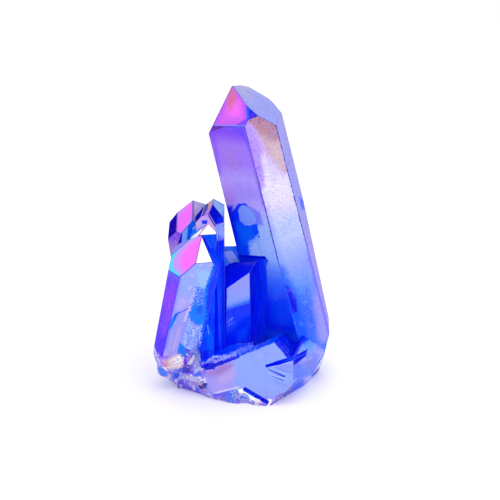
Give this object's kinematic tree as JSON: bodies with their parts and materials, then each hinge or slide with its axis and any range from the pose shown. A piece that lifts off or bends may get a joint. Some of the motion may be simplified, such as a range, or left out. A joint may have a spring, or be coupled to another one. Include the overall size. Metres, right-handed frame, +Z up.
{
  "type": "aqua aura quartz cluster",
  "caption": "Coated quartz crystal cluster: a tall leaning point and shorter points grown together on a broken root, cut flat to stand on a shelf.",
  "frame": {"origin": "centre of the bounding box at the flat underside", "axes": "+Z up, -Y towards the side with the front-left point and the broad front break, +X towards the tall point's foot"},
  "size_m": [0.0364, 0.0284, 0.0627],
  "materials": {
    "quartz": "clear quartz with a thin blue, violet and pink metallic film, glossy on crystal faces and rougher on breaks"
  },
  "bodies": {
    "root": {"quartz_cluster": "quartz"}
  },
  "joints": []
}
